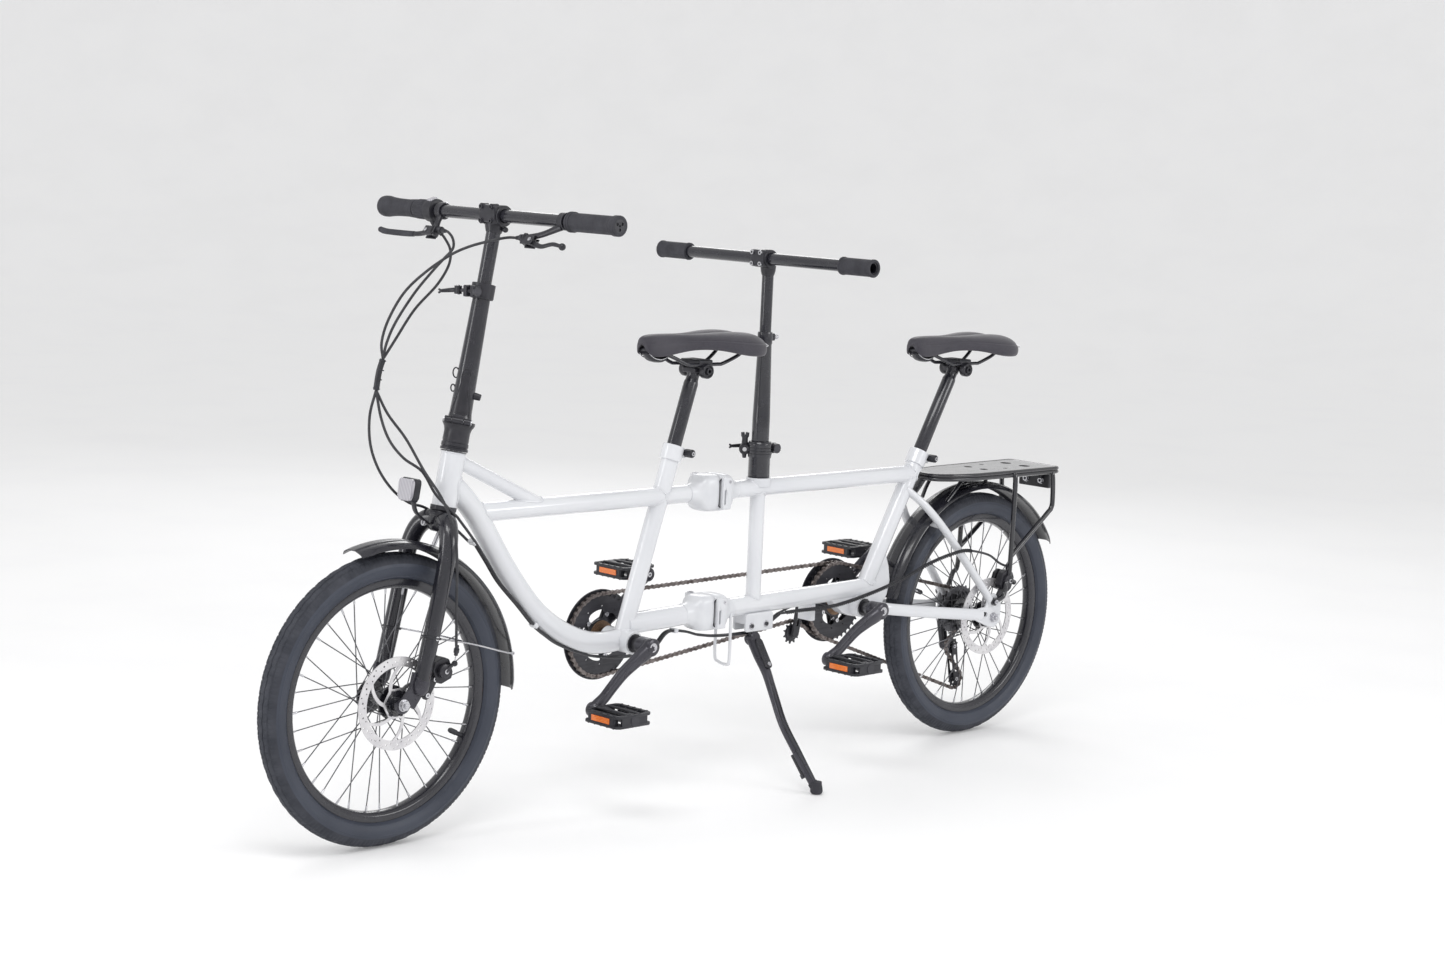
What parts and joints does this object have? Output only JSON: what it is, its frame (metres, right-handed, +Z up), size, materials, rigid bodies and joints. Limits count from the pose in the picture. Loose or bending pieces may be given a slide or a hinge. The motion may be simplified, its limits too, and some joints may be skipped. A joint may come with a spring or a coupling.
{
  "type": "tandem bicycle",
  "caption": "Folding tandem bicycle for two riders with small wheels, disc brakes, folding stem, stoker bar, rear carrier, mudguards and a side stand.",
  "frame": {"origin": "on the ground, midway between the wheel axles, in the plane of the wheels", "axes": "+X forwards, +Y to the riders' left, +Z up"},
  "size_m": [2.034, 0.62, 1.0885],
  "materials": {
    "white_paint": "gloss white enamel",
    "black_paint": "satin black enamel",
    "black_alloy": "black anodised",
    "black_plastic": "moulded black",
    "rubber": "matt black",
    "tyre_rubber": "blue-grey black",
    "vinyl": "dark grey vinyl",
    "steel": "brushed",
    "chain_steel": "oiled",
    "lamp_lens": "clear prismatic"
  },
  "bodies": {
    "rear_frame": {"rear_frame": "white_paint", "stoker_socket": "black_paint", "rear_mudguard": "black_plastic", "rear_rack": "black_paint", "rear_axle": "steel", "rear_caliper": "black_alloy", "rear_derailleur": "black_alloy", "drive_chain": "chain_steel", "timing_chain_rear": "chain_steel", "rear_brake_cable": "rubber"},
    "front_frame": {"front_frame": "white_paint", "timing_chain_front": "chain_steel"},
    "upper_latch": {"upper_latch": "white_paint"},
    "lower_latch": {"lower_latch": "white_paint"},
    "fork": {"fork": "black_paint", "front_mudguard": "black_plastic", "front_caliper": "black_alloy", "front_axle": "steel", "front_lamp": "lamp_lens", "stem_base": "black_alloy", "control_cables": "rubber"},
    "stem_post": {"stem_post": "black_paint"},
    "stem_lever": {"stem_lever": "black_plastic"},
    "handlebar": {"stem_riser": "black_paint", "handlebar": "black_paint", "left_grip": "rubber", "right_grip": "rubber"},
    "twist_shifter": {"twist_shifter": "black_plastic"},
    "left_brake_lever": {"left_brake_lever": "black_alloy"},
    "right_brake_lever": {"right_brake_lever": "black_alloy"},
    "front_wheel": {"front_tyre": "tyre_rubber", "front_rim": "black_alloy", "front_hub": "black_alloy", "front_rotor": "steel"},
    "rear_wheel": {"rear_tyre": "tyre_rubber", "rear_rim": "black_alloy", "rear_hub": "black_alloy", "rear_rotor": "steel"},
    "cassette": {"cassette": "steel"},
    "derailleur_cage": {"derailleur_cage": "black_alloy"},
    "chain_tensioner": {"chain_tensioner": "black_plastic"},
    "front_cranks": {"front_left_crank": "black_alloy", "front_right_crank": "black_alloy"},
    "rear_cranks": {"rear_left_crank": "black_alloy", "rear_right_crank": "black_alloy"},
    "front_left_pedal": {"front_left_pedal": "black_plastic"},
    "front_right_pedal": {"front_right_pedal": "black_plastic"},
    "rear_left_pedal": {"rear_left_pedal": "black_plastic"},
    "rear_right_pedal": {"rear_right_pedal": "black_plastic"},
    "front_seat": {"front_seatpost": "black_paint", "front_saddle": "vinyl"},
    "rear_seat": {"rear_seatpost": "black_paint", "rear_saddle": "vinyl"},
    "stoker_post": {"stoker_post": "black_paint"},
    "stoker_bars": {"stoker_riser": "black_paint", "stoker_bar": "black_paint", "stoker_left_grip": "rubber", "stoker_right_grip": "rubber"},
    "stoker_lever": {"stoker_lever": "black_alloy"},
    "kickstand": {"kickstand": "black_alloy"}
  },
  "joints": [
    {"name": "frame_fold", "type": "hinge", "parent": "rear_frame", "child": "front_frame", "pos_m": [0.01, -0.04, 0.45], "axis": [0, 0, -1], "range_deg": [0, 95]},
    {"name": "upper_latch_swing", "type": "hinge", "parent": "rear_frame", "child": "upper_latch", "pos_m": [-0.008, 0.0345, 0.557], "axis": [0, 0, 1], "range_deg": [0, 100]},
    {"name": "lower_latch_swing", "type": "hinge", "parent": "rear_frame", "child": "lower_latch", "pos_m": [-0.008, 0.0345, 0.33], "axis": [0, 0, 1], "range_deg": [0, 100]},
    {"name": "steering", "type": "hinge", "parent": "front_frame", "child": "fork", "pos_m": [0.649, 0, 0.566], "axis": [-0.1908, 0, 0.9816], "range_deg": [-55, 55]},
    {"name": "stem_fold", "type": "hinge", "parent": "fork", "child": "stem_post", "pos_m": [0.6391, 0.02001, 0.72182], "axis": [-0.6941, 0.7071, -0.1349], "range_deg": [0, 150], "deforming": ["control_cables"]},
    {"name": "stem_lever_swing", "type": "hinge", "parent": "stem_post", "child": "stem_lever", "pos_m": [0.6035, -0.033, 0.939], "axis": [-0.1908, 0, 0.9816], "range_deg": [0, 90]},
    {"name": "handlebar_height", "type": "slide", "parent": "stem_post", "child": "handlebar", "axis": [-0.1908, 0, 0.9816], "range_m": [-0.07, 0.05]},
    {"name": "twist_shift", "type": "hinge", "parent": "handlebar", "child": "twist_shifter", "pos_m": [0.55162, 0, 1.067], "axis": [0, 1, 0], "range_deg": [-60, 60]},
    {"name": "left_brake_pull", "type": "hinge", "parent": "handlebar", "child": "left_brake_lever", "pos_m": [0.57812, 0.125, 1.03], "axis": [0.813, 0, 0.5823], "range_deg": [0, 16], "stiffness_Nm_per_rad": 2, "springref_deg": -11.46},
    {"name": "right_brake_pull", "type": "hinge", "parent": "handlebar", "child": "right_brake_lever", "pos_m": [0.57812, -0.15, 1.03], "axis": [-0.813, 0, -0.5823], "range_deg": [0, 10], "stiffness_Nm_per_rad": 2, "springref_deg": -11.46},
    {"name": "front_wheel_spin", "type": "hinge", "parent": "fork", "child": "front_wheel", "pos_m": [0.765, 0, 0.252], "axis": [0, 1, 0], "continuous": true},
    {"name": "rear_wheel_spin", "type": "hinge", "parent": "rear_frame", "child": "rear_wheel", "pos_m": [-0.765, 0, 0.252], "axis": [0, 1, 0], "continuous": true},
    {"name": "rear_crank_spin", "type": "hinge", "parent": "rear_frame", "child": "rear_cranks", "pos_m": [-0.401, 0, 0.303], "axis": [0, 1, 0], "continuous": true},
    {"name": "front_crank_spin", "type": "hinge", "parent": "front_frame", "child": "front_cranks", "pos_m": [0.222, 0, 0.297], "axis": [0, 1, 0], "continuous": true},
    {"name": "cassette_spin", "type": "hinge", "parent": "rear_frame", "child": "cassette", "pos_m": [-0.765, 0, 0.252], "axis": [0, 1, 0], "continuous": true},
    {"name": "front_left_pedal_spin", "type": "hinge", "parent": "front_cranks", "child": "front_left_pedal", "pos_m": [0.35877, 0, 0.19944], "axis": [0, 1, 0], "continuous": true},
    {"name": "front_right_pedal_spin", "type": "hinge", "parent": "front_cranks", "child": "front_right_pedal", "pos_m": [0.08523, 0, 0.39456], "axis": [0, 1, 0], "continuous": true},
    {"name": "rear_left_pedal_spin", "type": "hinge", "parent": "rear_cranks", "child": "rear_left_pedal", "pos_m": [-0.25336, 0, 0.22284], "axis": [0, 1, 0], "continuous": true},
    {"name": "rear_right_pedal_spin", "type": "hinge", "parent": "rear_cranks", "child": "rear_right_pedal", "pos_m": [-0.54864, 0, 0.38316], "axis": [0, 1, 0], "continuous": true},
    {"name": "front_saddle_height", "type": "slide", "parent": "front_frame", "child": "front_seat", "axis": [-0.3074, 0, 0.9516], "range_m": [-0.12, 0.03]},
    {"name": "rear_saddle_height", "type": "slide", "parent": "rear_frame", "child": "rear_seat", "axis": [-0.4879, 0, 0.8729], "range_m": [-0.08, 0.03]},
    {"name": "stoker_post_height", "type": "slide", "parent": "rear_frame", "child": "stoker_post", "axis": [0, 0, 1], "range_m": [0, 0.03]},
    {"name": "stoker_bar_height", "type": "slide", "parent": "stoker_post", "child": "stoker_bars", "axis": [0, 0, 1], "range_m": [-0.08, 0.04]},
    {"name": "stoker_lever_swing", "type": "hinge", "parent": "rear_frame", "child": "stoker_lever", "pos_m": [-0.145, -0.0335, 0.632], "axis": [0, 0, -1], "range_deg": [0, 90]},
    {"name": "kickstand_swing", "type": "hinge", "parent": "rear_frame", "child": "kickstand", "pos_m": [-0.108, 0.014, 0.268], "axis": [0, 0.889, 0.458], "range_deg": [0, 85]},
    {"name": "derailleur_cage_swing", "type": "hinge", "parent": "rear_frame", "child": "derailleur_cage", "pos_m": [-0.774, -0.0445, 0.172], "axis": [0, 1, 0], "range_deg": [-20, 30], "stiffness_Nm_per_rad": 1, "deforming": ["drive_chain"]},
    {"name": "tensioner_swing", "type": "hinge", "parent": "rear_frame", "child": "chain_tensioner", "pos_m": [-0.3, -0.0455, 0.3], "axis": [0, 1, 0], "range_deg": [-15, 15], "stiffness_Nm_per_rad": 1, "deforming": ["timing_chain_rear"]}
  ],
  "couplings": [
    {"joint": "front_crank_spin", "follows": "rear_crank_spin", "ratio": 1},
    {"joint": "cassette_spin", "follows": "rear_crank_spin", "ratio": 1.7907}
  ]
}
